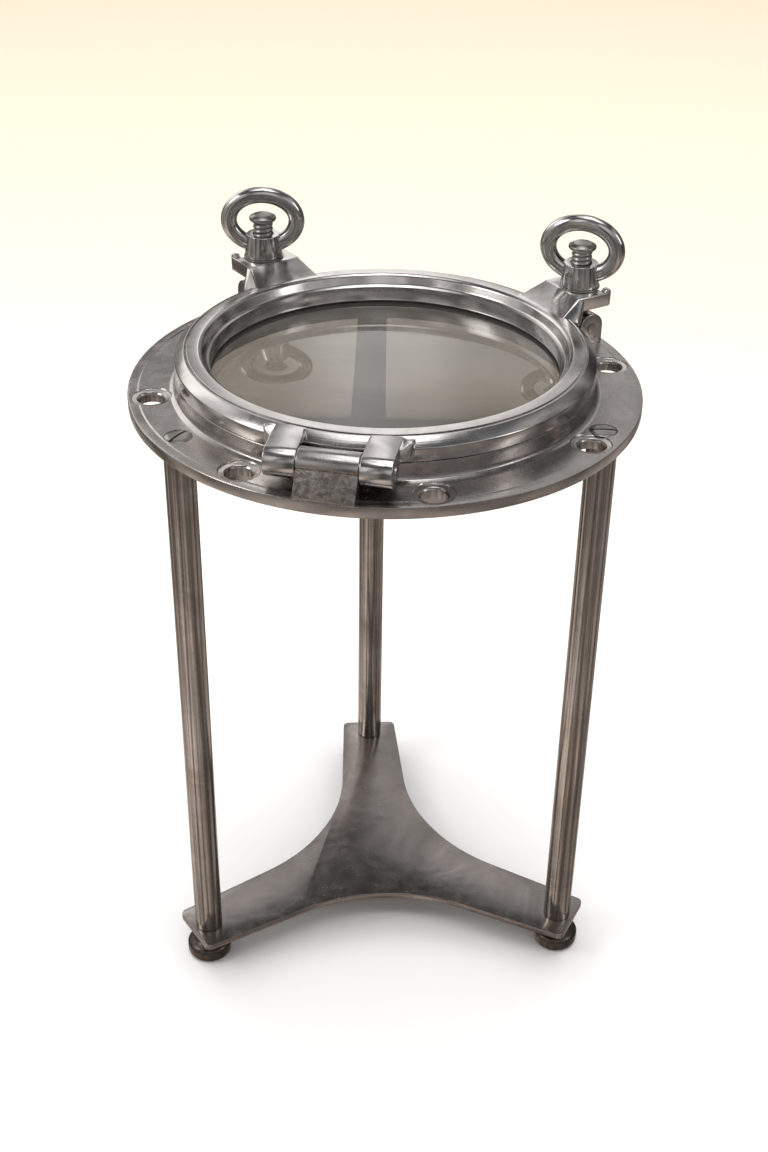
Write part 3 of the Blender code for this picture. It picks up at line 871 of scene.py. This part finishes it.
def build_dog(name):
    pivot = PIVOTS[name]
    pivot_z = pivot.translation.z
    body = f"{name}_dog"
    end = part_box(f"{name}_swing_bolt")[1].z - pivot_z
    shank = threaded_shank(6 * MM, 24 * MM, end)
    eye = along_y(axle(band(0, EYE_R, -EYE_HALF, EYE_HALF)))
    bore = along_y(rod(PIVOT_PIN_R + GAP, -EYE_HALF - 5 * MM, EYE_HALF + 5 * MM))
    obj = combined(f"{name}_bolt_threaded", shank, [eye], [bore])
    obj.data.transform(pivot)
    dressed(obj, STEEL, body, [f"{name}_swing_bolt"], 50)

    low = end + GAP
    cap = [
        (0, low),
        (11.4 * MM, low),
        (12.4 * MM, low + 1.6 * MM),
        (12 * MM, low + 3.4 * MM),
        (8 * MM, low + 5.6 * MM),
        (3 * MM, low + 6.3 * MM),
        (0, low + 6.4 * MM),
    ]
    obj = new_object(f"{name}_stop_cap_turned", placed(axle(cap), pivot))
    dressed(obj, STEEL, body, [f"{name}_stop_cap"])

    low_z, high_z = (corner.z - pivot_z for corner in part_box(f"{name}_thrust_washer"))
    outer = 18 * MM
    ring = softened(band(NUT_BORE_R, outer, low_z, high_z), 0.25 * MM)
    obj = new_object(f"{name}_washer_turned", placed(turned(ring, 72), pivot))
    dressed(obj, STEEL, f"{name}_washer", [f"{name}_thrust_washer"])

    nut_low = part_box(f"{name}_ring_nut")[0].z - pivot_z
    nut_top = nut_low + 20 * MM
    loop_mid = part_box(f"{name}_ring_nut")[1].z - pivot_z - LOOP_HALF_HIGH - LOOP_BAR_WIDE
    boss = [(0, nut_low), (NUT_FOOT_R, nut_low), (NUT_TOP_R, nut_top), (0, nut_top)]
    turn = pivot @ Matrix.Rotation(radians(LOOP_TURN[name]), 4, "Z")
    bore = rod(NUT_BORE_R, nut_low - 5 * MM, nut_top + 5 * MM)
    obj = combined(f"{name}_nut_polished", axle(boss, 96), [loop_of_nut(loop_mid)], [bore])
    obj.data.transform(turn)
    dressed(obj, BRIGHT, f"{name}_nut", [f"{name}_ring_nut"], 40)


def build_leg(name):
    at = LEG_AT[name]
    spot = Matrix.Translation((at.x, at.y, 0))
    low_z, high_z = (corner.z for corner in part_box(f"leg_{name}"))
    bore_r = SCREW_SHANK_R + 0.4 * MM
    deep = 38 * MM
    leg = [
        (0, low_z + deep),
        (bore_r, low_z + deep),
        (bore_r, low_z),
        (LEG_R, low_z),
        (LEG_R, high_z),
        (bore_r, high_z),
        (bore_r, high_z - deep),
        (0, high_z - deep),
    ]
    obj = new_object(f"leg_{name}_bar", placed(axle(leg, 72), spot))
    dressed(obj, BAR, "stand", [f"leg_{name}"])

    top = FLANGE_TOP
    screw = [
        (0, top - 45 * MM),
        (SCREW_SHANK_R, top - 45 * MM),
        (SCREW_SHANK_R, top - 6 * MM),
        (SCREW_HEAD_R, top - 0.6 * MM),
        (SCREW_HEAD_R, top + 0.1 * MM),
        (SCREW_HEAD_R - 3 * MM, top + 0.9 * MM),
        (0, top + 1.2 * MM),
    ]
    slot = band(-14 * MM, 14 * MM, -MM, MM)
    turn = Matrix.Rotation(radians(azimuth_of(at) + 25), 4, "Z")
    cut = placed(extruded(slot, top - 1.4 * MM, top + 5 * MM), turn)
    obj = combined(f"leg_screw_{name}_slotted", axle(screw), (), [cut])
    obj.data.transform(spot)
    dressed(obj, STEEL, "stand", [f"leg_screw_{name}"])

    foot_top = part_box(f"foot_{name}")[1].z
    hole_r = SCREW_SHANK_R + 0.5 * MM
    pocket_r, pocket_top = 9.2 * MM, 11 * MM
    foot_r, foot_low, neck_r = 21.2 * MM, 1.2 * MM, 13 * MM
    pad_r, pad_high = 18 * MM, 3.2 * MM
    foot = softened(
        [
            (hole_r, foot_top),
            (hole_r, pocket_top),
            (pocket_r, pocket_top),
            (pocket_r, pad_high + GAP),
            (pad_r + 0.4 * MM, pad_high + GAP),
            (pad_r + 0.4 * MM, foot_low),
            (foot_r - 1.5 * MM, foot_low),
            (foot_r, 4 * MM),
            (foot_r, 12 * MM),
            (foot_r - 2 * MM, 14.5 * MM),
            (neck_r + MM, 17 * MM),
            (neck_r, 19 * MM),
            (neck_r, foot_top),
        ],
        1.0 * MM,
    )
    obj = new_object(f"foot_{name}_turned", placed(turned(foot, 96), spot))
    dressed(obj, BRONZE, "stand", [f"foot_{name}"])
    pad = band(0, pad_r, 0, pad_high)
    obj = new_object(f"foot_pad_{name}_disc", placed(axle(pad, 72), spot))
    dressed(obj, RUBBER, "stand", [f"foot_pad_{name}"])
    frame["nodes"][f"foot_bolt_{name}"].data.materials[0] = STEEL


def build_plate():
    end, half, corner, bay = 212 * MM, 28.5 * MM, 6 * MM, 65 * MM
    outline = []
    for azimuth in sorted(azimuth_of(LEG_AT[name]) for name in LEGS):
        middle = (bay * cos(pi / 3), bay * sin(pi / 3))
        flank = curve_between(middle, (69 * MM, 35 * MM), (112 * MM, 33 * MM), 24)
        upper = arc((end - corner, half - corner), corner, 90, 0, 10)
        arm = [(x, -y) for x, y in flank] + [(x, -y) for x, y in upper] + upper[::-1] + flank[:0:-1]
        turn = radians(azimuth)
        outline += [(x * cos(turn) - y * sin(turn), x * sin(turn) + y * cos(turn)) for x, y in arm]
    holes = []
    for name in LEGS:
        spot = Matrix.Translation((LEG_AT[name].x, LEG_AT[name].y, 0))
        holes.append(placed(rod(SCREW_SHANK_R + 0.5 * MM, PLATE_LOW - 10 * MM, PLATE_TOP + 10 * MM), spot))
    obj = combined("base_plate_cut", extruded(outline, PLATE_LOW, PLATE_TOP, 0.6 * MM), (), holes)
    dressed(obj, PLATE, "stand", ["base_plate"])


# --------------------------------------------------------- studio and view

def build_floor():
    s = Shader("pale_floor")
    parts = s.node("ShaderNodeSeparateXYZ")
    s.join(s.where, parts.inputs[0])
    near = s.mix(s.spread(parts.outputs[1], 0.4, 1.5), (0.94, 0.94, 0.94), (0.94, 0.85, 0.70))
    colour = s.mix(s.spread(parts.outputs[1], 1.5, 4.0), near, (0.94, 0.77, 0.60))
    material = s.principled(Base_Color=colour, Roughness=0.9)
    bm = bmesh.new()
    size = 14.0
    corners = ((-size, -size), (size, -size), (size, size), (-size, size))
    bm.faces.new([bm.verts.new((x, y, -0.2 * MM)) for x, y in corners])
    floor = new_object("pale_floor", bm)
    floor.data.materials.append(material)
    floor.visible_glossy = False


# Studio tones for reflections: (height of the direction from -1 to 1, colour).
STUDIO_TONES = (
    (-1.0, (0.22, 0.19, 0.165)),
    (-0.62, (0.44, 0.385, 0.345)),
    (-0.25, (0.20, 0.178, 0.16)),
    (0.05, (0.17, 0.162, 0.155)),
    (0.45, (0.50, 0.49, 0.485)),
    (0.64, (0.46, 0.455, 0.45)),
    (0.79, (0.11, 0.117, 0.128)),
    (0.91, (0.10, 0.106, 0.116)),
    (0.985, (2.8, 2.78, 2.74)),
)


def remapped(tree, value, source, target):
    """A node that maps one range of a value to another."""
    node = tree.nodes.new("ShaderNodeMapRange")
    for key, number in zip(("From Min", "From Max", "To Min", "To Max"), (*source, *target)):
        node.inputs[key].default_value = number
    tree.links.new(value, node.inputs["Value"])
    return node


def build_world():
    """A dim studio in tones that polished metal can show, behind a plain pale backdrop."""
    world = bpy.data.worlds.new("studio")
    bpy.context.scene.world = world
    world.use_nodes = True
    tree = world.node_tree
    tree.nodes.clear()
    link = tree.links.new
    out = tree.nodes.new("ShaderNodeOutputWorld")
    coords = tree.nodes.new("ShaderNodeTexCoord")
    parts = tree.nodes.new("ShaderNodeSeparateXYZ")
    link(coords.outputs["Generated"], parts.inputs[0])
    height = remapped(tree, parts.outputs[2], (-1, 1), (0, 1))
    ramp = tree.nodes.new("ShaderNodeValToRGB")
    ramp.color_ramp.interpolation = "EASE"
    points = ramp.color_ramp.elements
    while len(points) < len(STUDIO_TONES):
        points.new(0.5)
    for point, (level, colour) in zip(points, STUDIO_TONES):
        point.position = (level + 1) / 2
        point.color = (*colour, 1)
    link(height.outputs[0], ramp.inputs[0])
    stretch = tree.nodes.new("ShaderNodeMapping")
    stretch.inputs["Scale"].default_value = (3.6, 3.6, 0.6)
    link(coords.outputs["Generated"], stretch.inputs[0])
    panels = tree.nodes.new("ShaderNodeTexNoise")
    panels.inputs["Scale"].default_value = 1.3
    panels.inputs["Detail"].default_value = 1.5
    link(stretch.outputs[0], panels.inputs["Vector"])
    contrast = remapped(tree, panels.outputs["Fac"], (0.38, 0.61), (0.22, 1.85))
    side = remapped(tree, parts.outputs[0], (-1, 1), (1.5, 0.7))
    power = tree.nodes.new("ShaderNodeMath")
    power.operation = "MULTIPLY"
    link(contrast.outputs[0], power.inputs[0])
    link(side.outputs[0], power.inputs[1])
    # A tall soft strip of light behind the table, in the middle.
    aside = tree.nodes.new("ShaderNodeMath")
    aside.operation = "ABSOLUTE"
    link(parts.outputs[0], aside.inputs[0])
    strip = remapped(tree, aside.outputs[0], (0.03, 0.15), (2.6, 0.0))
    strip.interpolation_type = "SMOOTHSTEP"
    behind = remapped(tree, parts.outputs[1], (0.55, 0.75), (0, 1))
    glow = tree.nodes.new("ShaderNodeMath")
    glow.operation = "MULTIPLY_ADD"
    link(strip.outputs[0], glow.inputs[0])
    link(behind.outputs[0], glow.inputs[1])
    link(power.outputs[0], glow.inputs[2])
    studio = tree.nodes.new("ShaderNodeBackground")
    link(ramp.outputs[0], studio.inputs["Color"])
    link(glow.outputs[0], studio.inputs["Strength"])
    backdrop = tree.nodes.new("ShaderNodeBackground")
    backdrop.inputs["Color"].default_value = (1.0, 0.93, 0.74, 1)
    path = tree.nodes.new("ShaderNodeLightPath")
    both = tree.nodes.new("ShaderNodeMixShader")
    link(path.outputs["Is Camera Ray"], both.inputs[0])
    link(studio.outputs[0], both.inputs[1])
    link(backdrop.outputs[0], both.inputs[2])
    link(both.outputs[0], out.inputs[0])


LAMP_COLOUR = (1.0, 0.985, 0.96)


def add_softbox(name, spot, target, size, power):
    light = bpy.data.lights.new(name, "AREA")
    light.shape = "RECTANGLE"
    light.size, light.size_y = size
    light.energy = power
    light.color = LAMP_COLOUR
    obj = bpy.data.objects.new(name, light)
    bpy.context.scene.collection.objects.link(obj)
    obj.location = spot
    obj.rotation_euler = (Vector(target) - Vector(spot)).to_track_quat("-Z", "Y").to_euler()
    return obj


def build_lights():
    middle = (0, 0, 0.45)
    add_softbox("key_left", (-2.2, -0.6, 2.2), middle, (0.9, 0.9), 14)
    add_softbox("fill_right", (2.3, -0.9, 1.7), middle, (0.5, 1.2), 6)
    add_softbox("back_left", (-1.15, 1.15, 1.35), (-0.2, 0, 0.56), (1.2, 0.9), 4.0)
    wash = add_softbox("floor_wash", (0, 1.5, 5.0), (0, 1.5, 0), (8.0, 8.0), 265)
    wash.visible_glossy = False


def build_camera():
    """In front of the table and above it, looking down at it; distances are in flange radii."""
    away, above_top = 5.6254, 2.6621
    down, aside, tilt = radians(32.39), radians(0.065), radians(0.874)
    ahead = Vector((sin(aside) * cos(down), cos(aside) * cos(down), -sin(down)))
    level = Vector((cos(aside), -sin(aside), 0))
    above = level.cross(ahead)
    right = cos(tilt) * level + sin(tilt) * above
    up = cos(tilt) * above - sin(tilt) * level
    data = bpy.data.cameras.new("view")
    data.sensor_width = 36
    data.lens = 49.33
    camera = bpy.data.objects.new("view", data)
    bpy.context.scene.collection.objects.link(camera)
    spot = Vector((0, -away * FLANGE_R, FLANGE_TOP + above_top * FLANGE_R))
    turn = Matrix((right, up, -ahead)).transposed().to_4x4()
    camera.matrix_world = Matrix.Translation(spot) @ turn
    bpy.context.scene.camera = camera


build_camera()
build_frame()
build_sash()
for dog_name in DOGS:
    build_dog(dog_name)
build_plate()
for leg_name in LEGS:
    build_leg(leg_name)
build_floor()
build_world()
build_lights()
bpy.context.scene.view_settings.view_transform = "Standard"

bpy.context.view_layer.update()
